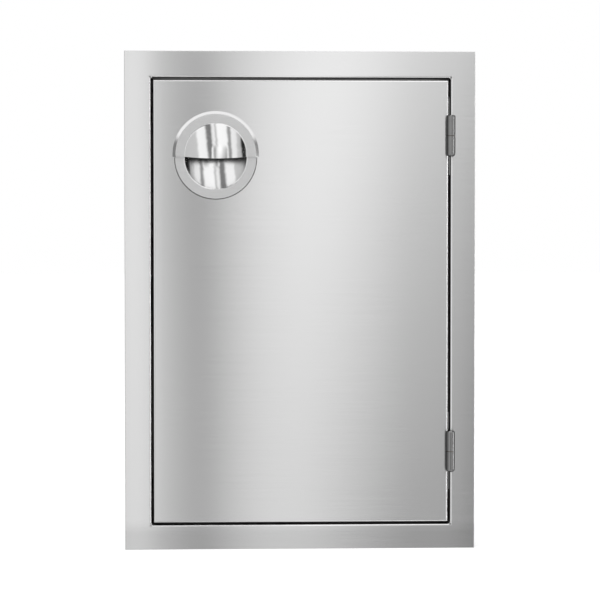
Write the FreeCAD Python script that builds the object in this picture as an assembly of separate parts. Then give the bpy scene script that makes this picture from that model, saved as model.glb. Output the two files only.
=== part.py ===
import FreeCAD, Part
import math
import os

# Access door for an outdoor kitchen island: a sheet steel frame with a flange that seats on the
# wall, and a double-skinned door on two lift-off hinges, with a hooded recessed pull and a magnetic
# catch. Sizes are in millimetres. X runs to the hinge side, Y into the island and Z up.
# The origin is the centre of the opening, in the plane where the frame seats on the wall.

V = FreeCAD.Vector

# Door leaf, and the running gap all round it
door_width = 304.8
door_height = 457.2
door_thickness = 19.0
door_gap = 2.2

# Sheet steel and the outside radii of its bends
sheet = 1.2
bend_radius = 2.0
edge_radius = 1.6
flange_edge_radius = 0.5

# Frame: face flange, wider at the latch side and the top, jambs and the return at their rear
hinge_flange_width = 25.6
top_flange_width = 27.3
latch_flange_width = 27.2
bottom_flange_width = 25.5
lip_depth = 5.0
weld_depth = 6.0
relief_radius = 1.5
frame_depth = 50.8
rear_return = 8.0
jamb_hole_radius = 2.4
jamb_hole_depth = 41.0
jamb_hole_spacing = 300.0

# Door pan, its back panel and the stiffener between them
pan_return = 14.0
back_panel_inset = 2.0
back_panel_corner = 4.0
back_screw_inset = 8.0
back_screw_from_corner = 60.0
stiffener_width = 40.0
stiffener_from_edge = 26.0

# Hinges: a solid knuckle on each leaf, the door's above the frame's
knuckle_radius = 4.7
knuckle_length = 21.0
knuckle_stand_off = 0.3
knuckle_chamfer = 1.0
bullet_radius = 3.2
axis_from_door_edge = 2.0
upper_hinge_from_top = 57.5
lower_hinge_from_bottom = 73.5
leaf_thickness = 1.5
leaf_setback = 5.0
leaf_width = 12.0
leaf_height = 40.0
leaf_screw_margin = 8.0
hinge_pin_radius = 2.5
hinge_pin_reach = 15.0
pin_running_clearance = 0.05
hinge_washer_radius = 3.9
hinge_washer_thickness = 0.5
nut_plate_thickness = 3.0
nut_plate_width = 9.0

# Pull: a round cup with a flat rim, and a raised half-round hood over its upper part
pull_from_latch_edge = 64.5
pull_from_top = 80.5
bowl_radius = 32.2
bowl_depth = 10.2
bowl_lip_radius = 1.8
rim_width = 10.4
rim_width_under_hood = 8.4
rim_thickness = 1.2
rim_edge_radius = 0.8
split_above_cup_centre = 1.2
hood_above_cup_centre = 3.9
hood_overhang = 1.8
hood_bevel = 3.1
hood_height = 2.7
hood_sheet = 1.0
dome_inset = 0.6
dome_rise = 9.8
dome_fillet = 1.8
dome_lip_tilt = 11.0
pull_stud_radius = 1.5
pull_stud_length = 8.0
pull_stud_from_bowl = 5.2
hood_stud_angle = 20.0
cup_stud_angle = 50.0
pull_hole_clearance = 0.6

# Magnetic catch on the latch jamb, and its strike on the door
catch_above_centre = 0.0
catch_clearance = 0.3
housing_width = 22.0
housing_depth = 18.0
housing_height = 32.0
ear_height = 10.0
ear_thickness = 3.0
magnet_width = 6.0
magnet_depth = 11.0
magnet_height = 26.0
pole_thickness = 1.6
pole_proud = 1.0
pocket_clearance = 0.1
strike_width = 13.0
strike_height = 40.0
strike_thickness = 1.5
strike_screw_spacing = 26.0

# Door stops on the latch jamb
stop_from_end = 38.0
stop_tab_height = 16.0
stop_tab_foot = 14.0
stop_tab_reach = 18.0
stop_tab_thickness = 1.5
bumper_radius = 5.0
bumper_height = 3.0
bumper_stem_radius = 1.6
bumper_clearance = 0.3

# Fasteners
screw_radius = 2.0
screw_hole_clearance = 0.2
thread_clearance = 0.05
screw_tip = 1.0
flat_head_radius = 3.4
flat_head_height = 1.4
pan_head_radius = 3.6
pan_head_height = 2.2
recess_width = 0.9
recess_span = 4.0
recess_depth = 1.2
nut_flats = 7.0
nut_height = 3.2
small_nut_flats = 5.5
small_nut_height = 2.4
small_washer_radius = 3.2
small_washer_thickness = 0.5

# Places that follow from the sizes
front = -lip_depth
door_back = front + door_thickness
pan_depth = door_thickness - sheet
opening_width = door_width + 2 * door_gap
opening_height = door_height + 2 * door_gap
axis_x = door_width / 2 + axis_from_door_edge
axis_y = front - knuckle_stand_off - knuckle_radius
hinge_heights = {
    "upper": door_height / 2 - upper_hinge_from_top,
    "lower": lower_hinge_from_bottom - door_height / 2,
}
leaf_screw_y = front + leaf_setback + leaf_width / 2
screw_hole_radius = screw_radius + screw_hole_clearance
rim_radius = bowl_radius + rim_width
rim_radius_under_hood = bowl_radius + rim_width_under_hood
hood_base_radius = rim_radius + hood_overhang
hood_face_radius = hood_base_radius - hood_bevel
dome_radius = bowl_radius - dome_inset
pull_stud_circle = bowl_radius + pull_stud_from_bowl
cup_x = pull_from_latch_edge - door_width / 2
cup_z = door_height / 2 - pull_from_top
hood_z = cup_z + hood_above_cup_centre
split_z = cup_z + split_above_cup_centre
latch_jamb_x = -opening_width / 2
strike_x = latch_jamb_x + housing_width / 2
pole_front = door_back + strike_thickness + catch_clearance
stop_y = door_back + bumper_clearance + bumper_height
margin = 5.0


def outline(corners, place):
    """A closed wire through corners given as (a, b, radius), each rounded by its radius."""
    flat = [V(a, b, 0) for a, b, radius in corners]
    joints = []
    for i, (a, b, radius) in enumerate(corners):
        here = flat[i]
        if radius < 1e-6:
            joints.append((here, None, here))
            continue
        before = (flat[i - 1] - here).normalize()
        after = (flat[(i + 1) % len(flat)] - here).normalize()
        half = before.getAngle(after) / 2
        inward = (before + after).normalize()
        middle = here + inward * (radius / math.sin(half) - radius)
        reach = radius / math.tan(half)
        joints.append((here + before * reach, middle, here + after * reach))
    edges = []
    for i, (start, middle, end) in enumerate(joints):
        if middle is not None:
            edges.append(Part.Arc(place(start), place(middle), place(end)).toShape())
        following = joints[(i + 1) % len(joints)][0]
        if (following - end).Length > 1e-6:
            edges.append(Part.LineSegment(place(end), place(following)).toShape())
    return Part.Wire(edges)


def bent_sheet(path, thickness):
    """The section of a bent sheet: a path along one face, and the same path set off to its left.

    Each bend's radius is that of the path; the other face's is larger or smaller by the thickness.
    A negative thickness sets the other face off to the right.
    """
    points = [V(a, b, 0) for a, b, radius in path]
    runs = [(points[i + 1] - points[i]).normalize() for i in range(len(points) - 1)]
    sides = [V(-run.y, run.x, 0) for run in runs]
    other = []
    for i, (a, b, radius) in enumerate(path):
        if i in (0, len(path) - 1):
            side = sides[0] if i == 0 else sides[-1]
            other.append((points[i] + side * thickness, 0))
            continue
        mean = sides[i - 1] + sides[i]
        step = mean * (2 * thickness / mean.dot(mean))
        turn = runs[i - 1].cross(runs[i]).z * thickness
        other.append((points[i] + step, max(radius - abs(thickness) * math.copysign(1, turn), 0)))
    return list(path) + [(point.x, point.y, radius) for point, radius in reversed(other)]


def mitred_rail(section, across, along, quarter, mitre=None):
    """One side of a rectangular frame, mitred where it meets its neighbours.

    The section holds (outward, depth, radius) corners, outward from the side of a rectangle and
    back from the front plane. A quarter of 0 is the hinge side, 1 the top, 2 the latch side. The
    mitre holds (outward, beyond, beyond) turns, beyond the rectangle towards the next side and
    towards the one before. Without it both cuts are straight at 45 degrees.
    """
    low = min(a for a, b, radius in section) - 1
    high = max(a for a, b, radius in section) + 1
    deep = max(b for a, b, radius in section) + 1
    mitre = mitre or [(low, low, low), (high, high, high)]
    reach = along / 2 + max(max(turn) for turn in mitre)
    wire = outline(section, lambda p: V(across / 2 + p.x, front + p.y, -reach))
    rail = Part.Face(wire).extrude(V(0, 0, 2 * reach))
    points = [V(across / 2 + u, front - 1, along / 2 + beyond) for u, beyond, _ in mitre]
    points += [V(across / 2 + u, front - 1, -along / 2 - beyond) for u, _, beyond in reversed(mitre)]
    wedge = Part.Face(Part.makePolygon(points + points[:1])).extrude(V(0, deep + 1, 0))
    rail = rail.common(wedge)
    rail.rotate(V(0, 0, 0), V(0, 1, 0), -90 * quarter)
    return rail


def rectangle_rails(section, width, height):
    """The four mitred rails round a rectangle: hinge side, top, latch side and bottom."""
    spans = [(width, height), (height, width), (width, height), (height, width)]
    return [mitred_rail(section, across, along, i) for i, (across, along) in enumerate(spans)]


def box(x, y, z):
    """A box from its (low, high) ranges along X, Y and Z."""
    size = [pair[1] - pair[0] for pair in (x, y, z)]
    return Part.makeBox(size[0], size[1], size[2], V(x[0], y[0], z[0]))


def rod(radius, start, direction, length):
    """A round rod from a point, along a direction."""
    return Part.makeCylinder(radius, length, start, direction)


def aim(shape, point, direction):
    """Turn a shape built up the Z axis from the origin to a direction, and set it at a point."""
    turn = FreeCAD.Rotation(V(0, 0, 1), direction)
    shape.Placement = FreeCAD.Placement(point, turn)
    return shape


def flat_screw(length):
    """A countersunk screw, its head's flat face at the origin and its shank up the Z axis."""
    head = Part.makeCone(flat_head_radius, screw_radius, flat_head_height)
    shank = rod(screw_radius, V(0, 0, 0), V(0, 0, 1), length)
    return head.fuse(shank).removeSplitter().cut(cross_recess(0))


def pan_screw(length):
    """A pan head screw, seated at the origin with its shank up the Z axis."""
    head = rod(pan_head_radius, V(0, 0, -pan_head_height), V(0, 0, 1), pan_head_height)
    rims = [edge for edge in head.Edges if abs(edge.BoundBox.ZMax + pan_head_height) < 1e-6]
    head = head.makeFillet(pan_head_height * 0.55, rims)
    shank = rod(screw_radius, V(0, 0, 0), V(0, 0, 1), length)
    return head.fuse(shank).removeSplitter().cut(cross_recess(-pan_head_height))


def cross_recess(top):
    """The cross slot for a driver, cut upwards from a screw head's outer face."""
    arms = []
    for wide, tall in ((recess_span, recess_width), (recess_width, recess_span)):
        arms.append(box((-wide / 2, wide / 2), (-tall / 2, tall / 2), (top - 1, top + recess_depth)))
    return arms[0].fuse(arms[1])


def hex_nut(flats, height, hole):
    """A hexagonal nut on the origin, its hole up the Z axis."""
    across = flats / math.sqrt(3)
    points = [V(across * math.cos(a), across * math.sin(a), 0)
              for a in (math.radians(60 * i) for i in range(7))]
    body = Part.Face(Part.makePolygon(points)).extrude(V(0, 0, height))
    return body.cut(rod(hole, V(0, 0, -1), V(0, 0, 1), height + 2))


def leaf_screw_heights(upward):
    """How far the screws of a hinge leaf stand from the plane where its knuckles meet."""
    start = hinge_washer_thickness / 2
    places = (start + leaf_screw_margin, start + leaf_height - leaf_screw_margin)
    return [place if upward else -place for place in places]


def leaf_screw_points(upward):
    """Heights of every screw in the door's leaves, or in the frame's."""
    return [z + step for z in hinge_heights.values() for step in leaf_screw_heights(upward)]


def catch_screw_points():
    """Heights of the two screws that hold the catch."""
    offset = housing_height / 2 + ear_height / 2
    return [catch_above_centre - offset, catch_above_centre + offset]


def stop_points():
    """Heights of the two door stops."""
    return [opening_height / 2 - stop_from_end, stop_from_end - opening_height / 2]


def back_screw_points():
    """Where the back panel's screws stand, as (x, z)."""
    side = door_width / 2 - back_screw_inset
    end = door_height / 2 - back_screw_inset
    along_x = door_width / 2 - back_screw_from_corner
    along_z = door_height / 2 - back_screw_from_corner
    points = []
    for sign in (-1, 1):
        for other in (-1, 1):
            points += [(sign * side, other * along_z), (other * along_x, sign * end)]
    return points


def pull_stud_points():
    """Where the pull's studs stand, as (x, z): two under the hood, then two in the cup's rim."""
    points = []
    for centre, angle in ((hood_z, hood_stud_angle), (cup_z, -cup_stud_angle)):
        for side in (-1, 1):
            turn = math.radians(angle)
            x = cup_x + side * pull_stud_circle * math.cos(turn)
            points.append((x, centre + pull_stud_circle * math.sin(turn)))
    return points


def face_flange():
    """The ring that seats on the wall: its face, outer lip and the bend into the opening.

    Its sides differ in width, so a mitre leaves 45 degrees between the inner bend and the outer.
    """
    widths = [hinge_flange_width, top_flange_width, latch_flange_width, bottom_flange_width]
    spans = [(opening_width, opening_height), (opening_height, opening_width)] * 2
    rails = []
    for i, wide in enumerate(widths):
        following, before = widths[(i + 1) % 4], widths[i - 1]
        path = [(0, weld_depth, 0), (0, 0, bend_radius), (wide, 0, flange_edge_radius),
                (wide, lip_depth, 0)]
        bend = 2 * bend_radius
        mitre = [(-1, -1, -1), (bend, bend, bend), (wide - bend, following - bend, before - bend),
                 (wide + 1, following + 1, before + 1)]
        rails.append(mitred_rail(bent_sheet(path, sheet), *spans[i], i, mitre))
    ring = rails[0].fuse(rails[1:]).removeSplitter()
    for x in (-opening_width / 2, opening_width / 2):
        for z in (-opening_height / 2, opening_height / 2):
            ring = ring.cut(rod(relief_radius, V(x, front - 1, z), V(0, 1, 0), bend_radius + 1))
    return ring


def jambs():
    """The four jamb strips behind the flange, each with a return at its rear."""
    path = [(0, weld_depth, 0), (0, frame_depth - sheet, bend_radius - sheet),
            (-rear_return, frame_depth - sheet, 0)]
    section = bent_sheet(path, -sheet)
    right, top, left, bottom = rectangle_rails(section, opening_width, opening_height)
    depth = front + jamb_hole_depth
    for side in (-1, 1):
        for z in (-jamb_hole_spacing / 2, jamb_hole_spacing / 2):
            start = V(side * (opening_width / 2 - 1), depth, z)
            hole = rod(jamb_hole_radius, start, V(side, 0, 0), sheet + 2)
            right, left = (right.cut(hole), left) if side > 0 else (right, left.cut(hole))
    for z in leaf_screw_points(False):
        start = V(opening_width / 2 - 1, leaf_screw_y, z)
        right = right.cut(rod(screw_hole_radius, start, V(1, 0, 0), sheet + 2))
    for z in catch_screw_points():
        start = V(latch_jamb_x + 1, pole_front + pole_proud + housing_depth / 2, z)
        left = left.cut(rod(screw_hole_radius, start, V(-1, 0, 0), sheet + 2))
    return {"jamb_hinge_side": right, "jamb_top": top, "jamb_latch_side": left, "jamb_bottom": bottom}


def door_front_panel():
    """The door's front pan: its face, four walls and the returns that carry the back panel."""
    path = [(-bend_radius, 0, 0), (0, 0, bend_radius), (0, pan_depth, edge_radius),
            (-pan_return, pan_depth, 0)]
    rails = rectangle_rails(bent_sheet(path, sheet), door_width, door_height)
    half_x = door_width / 2 - bend_radius
    half_z = door_height / 2 - bend_radius
    face = box((-half_x, half_x), (front, front + sheet), (-half_z, half_z))
    pan = face.fuse(rails).removeSplitter()
    start = V(cup_x, front - 1, cup_z)
    pan = pan.cut(rod(bowl_back_radius() + pull_hole_clearance, start, V(0, 1, 0), sheet + 2))
    for x, z in pull_stud_points():
        hole = rod(pull_stud_radius + screw_hole_clearance, V(x, front - 1, z), V(0, 1, 0), sheet + 2)
        pan = pan.cut(hole)
    for z in leaf_screw_points(True):
        start = V(door_width / 2 - sheet - 1, leaf_screw_y, z)
        pan = pan.cut(rod(screw_hole_radius, start, V(1, 0, 0), sheet + 2))
    for x, z in back_screw_points() + strike_screw_points():
        start = V(x, front + pan_depth - sheet - 1, z)
        pan = pan.cut(rod(screw_radius + thread_clearance, start, V(0, 1, 0), sheet + 2))
    return pan


def door_back_panel():
    """The flat plate that closes the door's back."""
    half_x = door_width / 2 - back_panel_inset
    half_z = door_height / 2 - back_panel_inset
    corners = [(x, z, back_panel_corner)
               for x, z in ((-half_x, -half_z), (half_x, -half_z), (half_x, half_z), (-half_x, half_z))]
    wire = outline(corners, lambda p: V(p.x, door_back - sheet, p.y))
    plate = Part.Face(wire).extrude(V(0, sheet, 0))
    for x, z in back_screw_points() + strike_screw_points():
        start = V(x, door_back - sheet - 1, z)
        plate = plate.cut(rod(screw_hole_radius, start, V(0, 1, 0), sheet + 2))
    return plate


def door_stiffener():
    """The channel between the door's skins, its web on the front one and its legs on the back."""
    half_z = door_height / 2 - stiffener_from_edge
    path = [(stiffener_width / 2, door_back - sheet, 0), (stiffener_width / 2, front + sheet, edge_radius),
            (-stiffener_width / 2, front + sheet, edge_radius), (-stiffener_width / 2, door_back - sheet, 0)]
    wire = outline(bent_sheet(path, -sheet), lambda p: V(p.x, p.y, -half_z))
    return Part.Face(wire).extrude(V(0, 0, 2 * half_z))


def back_panel_screws():
    """The screws that hold the back panel to the pan's returns."""
    length = 2 * sheet + screw_tip
    points = [V(x, door_back, z) for x, z in back_screw_points()]
    return Part.makeCompound([aim(pan_screw(length), point, V(0, -1, 0)) for point in points])


def hinge_leaf(height, upward):
    """A knuckle and its leaf: the door's reaches up from the hinge's split, the frame's down."""
    way = 1 if upward else -1
    start = height + way * hinge_washer_thickness / 2
    end = start + way * knuckle_length
    knuckle = rod(knuckle_radius, V(axis_x, axis_y, start), V(0, 0, way), knuckle_length)
    tip = [edge for edge in knuckle.Edges if abs(edge.BoundBox.ZMax - end) < 1e-6
           and abs(edge.BoundBox.ZMin - end) < 1e-6]
    if upward:
        knuckle = knuckle.makeChamfer(knuckle_chamfer, tip)
        x = (door_width / 2, door_width / 2 + leaf_thickness)
    else:
        knuckle = knuckle.makeFillet(bullet_radius, tip)
        x = (opening_width / 2 - leaf_thickness, opening_width / 2)
    leaf_front = front + leaf_setback
    neck_end = end - way * bullet_radius
    neck = box(x, (axis_y, leaf_front), sorted((start, neck_end)))
    plate = box(x, (leaf_front, leaf_front + leaf_width), sorted((start, start + way * leaf_height)))
    leaf = knuckle.fuse([neck, plate]).removeSplitter()
    bore = hinge_pin_radius + (pin_running_clearance if upward else thread_clearance / 5)
    bore_depth = hinge_pin_reach + pin_running_clearance
    leaf = leaf.cut(rod(bore, V(axis_x, axis_y, start), V(0, 0, way), bore_depth))
    for step in leaf_screw_heights(upward):
        point = V(x[1] if upward else x[0], leaf_screw_y, height + step)
        inward = V(-1 if upward else 1, 0, 0)
        leaf = leaf.cut(rod(screw_hole_radius, point, inward, leaf_thickness + 1))
        sink = Part.makeCone(flat_head_radius + thread_clearance, screw_radius + thread_clearance,
                             flat_head_height)
        leaf = leaf.cut(aim(sink, point, inward))
    return leaf


def hinge_pin(height):
    """The pin that stands in the frame's knuckle and carries the door's."""
    reach = hinge_washer_thickness / 2 + hinge_pin_reach
    pin = rod(hinge_pin_radius, V(axis_x, axis_y, height - reach), V(0, 0, 1), 2 * reach)
    return pin.makeChamfer(hinge_pin_radius / 5, pin.Edges[:1] + pin.Edges[2:3])


def hinge_washer(height):
    """The bearing washer between the two knuckles."""
    start = V(axis_x, axis_y, height - hinge_washer_thickness / 2)
    ring = rod(hinge_washer_radius, start, V(0, 0, 1), hinge_washer_thickness)
    bore = hinge_pin_radius + pin_running_clearance
    return ring.cut(rod(bore, start - V(0, 0, 1), V(0, 0, 1), hinge_washer_thickness + 2))


def nut_plate(height):
    """The tapped plate inside the door's wall that takes the door leaf's screws."""
    start = height + hinge_washer_thickness / 2
    wall = door_width / 2 - sheet
    y = (leaf_screw_y - nut_plate_width / 2, leaf_screw_y + nut_plate_width / 2)
    plate = box((wall - nut_plate_thickness, wall), y, (start, start + leaf_height))
    for step in leaf_screw_heights(True):
        point = V(wall + 1, leaf_screw_y, height + step)
        plate = plate.cut(rod(screw_radius + thread_clearance, point, V(-1, 0, 0), nut_plate_thickness + 2))
    return plate


def hinge_door_screws():
    """The screws through the door's leaves into the nut plates."""
    length = leaf_thickness + sheet + nut_plate_thickness + screw_tip
    x = door_width / 2 + leaf_thickness
    points = [V(x, leaf_screw_y, z) for z in leaf_screw_points(True)]
    return Part.makeCompound([aim(flat_screw(length), point, V(-1, 0, 0)) for point in points])


def hinge_frame_screws():
    """The screws through the frame's leaves and the hinge jamb."""
    length = leaf_thickness + sheet + nut_height + screw_tip
    x = opening_width / 2 - leaf_thickness
    points = [V(x, leaf_screw_y, z) for z in leaf_screw_points(False)]
    return Part.makeCompound([aim(flat_screw(length), point, V(1, 0, 0)) for point in points])


def hinge_frame_nuts():
    """The nuts on those screws, outside the hinge jamb."""
    points = [V(opening_width / 2 + sheet, leaf_screw_y, z) for z in leaf_screw_points(False)]
    return Part.makeCompound([aim(hex_nut(nut_flats, nut_height, screw_radius + thread_clearance),
                                  point, V(1, 0, 0)) for point in points])


def bowl_sphere():
    """The radius of the bowl's inside, and how far its centre stands in front of the door's face."""
    radius = (bowl_radius ** 2 + bowl_depth ** 2) / (2 * bowl_depth)
    return radius, rim_thickness - bowl_depth + radius


def bowl_back_radius():
    """The radius of the bowl's outside where it passes through the door's face."""
    radius, centre = bowl_sphere()
    return math.sqrt((radius + rim_thickness) ** 2 - centre ** 2)


def sphere_arc(radius, centre, start, end, place):
    """An arc of a sphere's section between two angles from the pull's axis, in degrees."""
    points = []
    for angle in (start, (start + end) / 2, end):
        turn = math.radians(angle)
        points.append(place(radius * math.sin(turn), centre + radius * math.cos(turn)))
    return Part.Arc(*points).toShape()


def turned(edges, x, z):
    """A solid turned about the pull's axis at (x, z) from the edges of half its section."""
    face = Part.Face(Part.Wire(Part.__sortEdges__(edges)))
    return face.revolve(V(x, 0, z), V(0, 1, 0), 360)


def pull_cup():
    """The round cup: a flat rim on the door's face round a polished bowl."""
    def place(r, h):
        return V(cup_x + r, front - h, cup_z)

    radius, centre = bowl_sphere()
    lip_angle = 180 - math.degrees(math.asin(bowl_radius / radius))
    back_angle = 180 - math.degrees(math.asin(bowl_back_radius() / (radius + rim_thickness)))
    inside = sphere_arc(radius, centre, lip_angle, 180, place)
    outside = sphere_arc(radius + rim_thickness, centre, back_angle, 180, place)
    bottom = centre - radius
    lines = [
        (place(0, bottom), place(0, bottom - rim_thickness)),
        (place(bowl_back_radius(), 0), place(rim_radius, 0)),
        (place(rim_radius, 0), place(rim_radius, rim_thickness)),
        (place(rim_radius, rim_thickness), place(bowl_radius, rim_thickness)),
    ]
    cup = turned([inside, outside] + [Part.LineSegment(a, b).toShape() for a, b in lines], cup_x, cup_z)
    for size, reach in ((bowl_lip_radius, bowl_radius), (rim_edge_radius, rim_radius)):
        ring = [edge for edge in cup.Edges if is_circle(edge, reach, front - rim_thickness)]
        cup = cup.makeFillet(size, ring)
    reach = 2 * rim_radius
    upper = box((cup_x - reach, cup_x + reach), (front - margin, front + margin), (split_z, split_z + reach))
    keep = rod(rim_radius_under_hood, V(cup_x, front - margin, cup_z), V(0, 1, 0), 2 * margin)
    cup = cup.cut(upper.cut(keep))
    for x, z in pull_stud_points()[:2]:
        hole = rod(pull_stud_radius + screw_hole_clearance, V(x, front - margin, z), V(0, 1, 0), 2 * margin)
        cup = cup.cut(hole)
    return cup


def is_circle(edge, radius, y):
    """Whether an edge is a circle of this radius in the plane at this depth."""
    bounds = edge.BoundBox
    flat = abs(bounds.YMin - y) < 1e-4 and abs(bounds.YMax - y) < 1e-4
    return flat and isinstance(edge.Curve, Part.Circle) and abs(edge.Curve.Radius - radius) < 1e-4


def pull_hood():
    """The raised hood over the cup: a bevelled skirt, a flat face and a dome, cut at the split."""
    def place(r, h):
        return V(cup_x + r, front - h, hood_z)

    radius = (dome_radius ** 2 + dome_rise ** 2) / (2 * dome_rise)
    centre = hood_height + dome_rise - radius
    inner = radius - hood_sheet
    under = hood_height - hood_sheet
    inner_reach = math.sqrt(inner ** 2 - (under - centre) ** 2)
    slope = math.atan2(hood_height, hood_base_radius - hood_face_radius)
    outside = sphere_arc(radius, centre, 0, math.degrees(math.asin(dome_radius / radius)), place)
    inside = sphere_arc(inner, centre, 0, math.degrees(math.asin(inner_reach / inner)), place)
    skirt_top = hood_face_radius - hood_sheet * math.tan(slope / 2)
    skirt_base = hood_base_radius - hood_sheet / math.sin(slope)
    chain = [place(dome_radius, hood_height), place(hood_face_radius, hood_height),
             place(hood_base_radius, 0), place(skirt_base, 0), place(skirt_top, under),
             place(inner_reach, under)]
    lines = [Part.LineSegment(a, b).toShape() for a, b in zip(chain, chain[1:])]
    top = Part.LineSegment(place(0, centre + radius), place(0, centre + inner)).toShape()
    hood = turned([outside, inside, top] + lines, cup_x, hood_z)
    ring = [edge for edge in hood.Edges if is_circle(edge, dome_radius, front - hood_height)]
    hood = hood.makeFillet(dome_fillet, ring)
    far = hood_height + 2 * dome_rise
    drop = (far - hood_height) * math.tan(math.radians(dome_lip_tilt))
    low = split_z - 2 * hood_base_radius
    points = [V(0, front + margin, split_z), V(0, front - hood_height, split_z),
              V(0, front - far, split_z - drop), V(0, front - far, low), V(0, front + margin, low)]
    reach = 2 * hood_base_radius
    below = Part.Face(Part.makePolygon(points + points[:1])).extrude(V(2 * reach, 0, 0))
    below.translate(V(cup_x - reach, 0, 0))
    return hood.cut(below)


def pull_studs(under_hood):
    """The weld studs behind the hood's face, or behind the cup's rim."""
    points = pull_stud_points()[:2] if under_hood else pull_stud_points()[2:]
    root = front - (hood_height - hood_sheet if under_hood else 0)
    length = pull_stud_length + (front - root)
    studs = [rod(pull_stud_radius, V(x, root, z), V(0, 1, 0), length) for x, z in points]
    return Part.makeCompound(studs)


def pull_washers():
    """The washers behind the door's face, one on each stud of the pull."""
    rings = []
    for x, z in pull_stud_points():
        start = V(x, front + sheet, z)
        ring = rod(small_washer_radius, start, V(0, 1, 0), small_washer_thickness)
        hole = rod(pull_stud_radius + screw_hole_clearance, start - V(0, 1, 0), V(0, 1, 0),
                   small_washer_thickness + 2)
        rings.append(ring.cut(hole))
    return Part.makeCompound(rings)


def pull_nuts():
    """The nuts on the pull's studs."""
    seat = front + sheet + small_washer_thickness
    hole = pull_stud_radius + thread_clearance
    points = [V(x, seat, z) for x, z in pull_stud_points()]
    return Part.makeCompound([aim(hex_nut(small_nut_flats, small_nut_height, hole), point, V(0, 1, 0))
                              for point in points])


def strike_screw_points():
    """Where the strike's screws stand, as (x, z)."""
    return [(strike_x, catch_above_centre + side * strike_screw_spacing / 2) for side in (-1, 1)]


def strike_plate():
    """The steel plate on the door's back that the magnet holds."""
    half = strike_width / 2
    middle = catch_above_centre
    plate = box((strike_x - half, strike_x + half), (door_back, door_back + strike_thickness),
                (middle - strike_height / 2, middle + strike_height / 2))
    upright = [edge for edge in plate.Edges if edge.BoundBox.YLength > strike_thickness - 1e-6
               and edge.BoundBox.XLength < 1e-6 and edge.BoundBox.ZLength < 1e-6]
    plate = plate.makeFillet(strike_thickness, upright)
    for x, z in strike_screw_points():
        point = V(x, door_back + strike_thickness, z)
        plate = plate.cut(rod(screw_hole_radius, point, V(0, -1, 0), strike_thickness + 1))
        sink = Part.makeCone(flat_head_radius + thread_clearance, screw_radius + thread_clearance,
                             flat_head_height)
        plate = plate.cut(aim(sink, point, V(0, -1, 0)))
    return plate


def strike_screws():
    """The countersunk screws that hold the strike to the door's back."""
    length = strike_thickness + 2 * sheet + screw_tip
    points = [V(x, door_back + strike_thickness, z) for x, z in strike_screw_points()]
    return Part.makeCompound([aim(flat_screw(length), point, V(0, -1, 0)) for point in points])


def catch_core(clearance):
    """The block of space that the magnet and its two pole plates fill, from the pole's front."""
    half = magnet_width / 2 + pole_thickness + clearance
    tall = magnet_height / 2 + clearance
    depth = pole_proud + magnet_depth + clearance
    return box((strike_x - half, strike_x + half), (pole_front, pole_front + depth),
               (catch_above_centre - tall, catch_above_centre + tall))


def catch_housing():
    """The catch's moulded housing, with an ear at each end for its screws."""
    seat = pole_front + pole_proud
    y = (seat, seat + housing_depth)
    half = housing_height / 2
    block = box((latch_jamb_x, latch_jamb_x + housing_width), y,
                (catch_above_centre - half, catch_above_centre + half))
    ears = box((latch_jamb_x, latch_jamb_x + ear_thickness), y,
               (catch_above_centre - half - ear_height, catch_above_centre + half + ear_height))
    housing = block.fuse(ears).removeSplitter().cut(catch_core(pocket_clearance))
    for z in catch_screw_points():
        start = V(latch_jamb_x - 1, seat + housing_depth / 2, z)
        housing = housing.cut(rod(screw_hole_radius, start, V(1, 0, 0), ear_thickness + 2))
    return housing


def catch_magnet():
    """The magnet between the pole plates, set back so that only the plates touch the strike."""
    half = magnet_width / 2
    start = pole_front + pole_proud
    return box((strike_x - half, strike_x + half), (start, start + magnet_depth),
               (catch_above_centre - magnet_height / 2, catch_above_centre + magnet_height / 2))


def catch_pole_plates():
    """The two steel plates that carry the magnet's pull to the strike."""
    core = catch_core(0).BoundBox
    y = (core.YMin, core.YMax)
    z = (core.ZMin, core.ZMax)
    return Part.makeCompound([box((core.XMin, core.XMin + pole_thickness), y, z),
                              box((core.XMax - pole_thickness, core.XMax), y, z)])


def catch_screws():
    """The screws through the catch's ears and the latch jamb."""
    length = ear_thickness + sheet + nut_height + screw_tip
    y = pole_front + pole_proud + housing_depth / 2
    points = [V(latch_jamb_x + ear_thickness, y, z) for z in catch_screw_points()]
    return Part.makeCompound([aim(pan_screw(length), point, V(-1, 0, 0)) for point in points])


def catch_nuts():
    """The nuts on those screws, outside the latch jamb."""
    y = pole_front + pole_proud + housing_depth / 2
    points = [V(latch_jamb_x - sheet, y, z) for z in catch_screw_points()]
    return Part.makeCompound([aim(hex_nut(nut_flats, nut_height, screw_radius + thread_clearance),
                                  point, V(-1, 0, 0)) for point in points])


def stop_tab(height):
    """A bent tab on the latch jamb, behind the door's back."""
    path = [(latch_jamb_x, stop_y + stop_tab_foot, 0), (latch_jamb_x, stop_y, edge_radius),
            (latch_jamb_x + stop_tab_reach, stop_y, 0)]
    low = height - stop_tab_height / 2
    wire = outline(bent_sheet(path, stop_tab_thickness), lambda p: V(p.x, p.y, low))
    tab = Part.Face(wire).extrude(V(0, 0, stop_tab_height))
    start = V(bumper_x(), stop_y - 1, height)
    hole = rod(bumper_stem_radius + thread_clearance, start, V(0, 1, 0), stop_tab_thickness + 2)
    return tab.cut(hole)


def bumper_x():
    """Where the bumpers stand across the opening: in the middle of the tabs' flat."""
    return latch_jamb_x + stop_tab_reach - bumper_radius - 1


def bumper(height):
    """The rubber bumper pushed into a stop tab."""
    head = rod(bumper_radius, V(bumper_x(), stop_y, height), V(0, -1, 0), bumper_height)
    rims = [edge for edge in head.Edges if abs(edge.BoundBox.YMax - (stop_y - bumper_height)) < 1e-6]
    head = head.makeFillet(bumper_height * 0.4, rims)
    stem = rod(bumper_stem_radius, V(bumper_x(), stop_y, height), V(0, 1, 0), 2 * stop_tab_thickness)
    return head.fuse(stem).removeSplitter()


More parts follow.
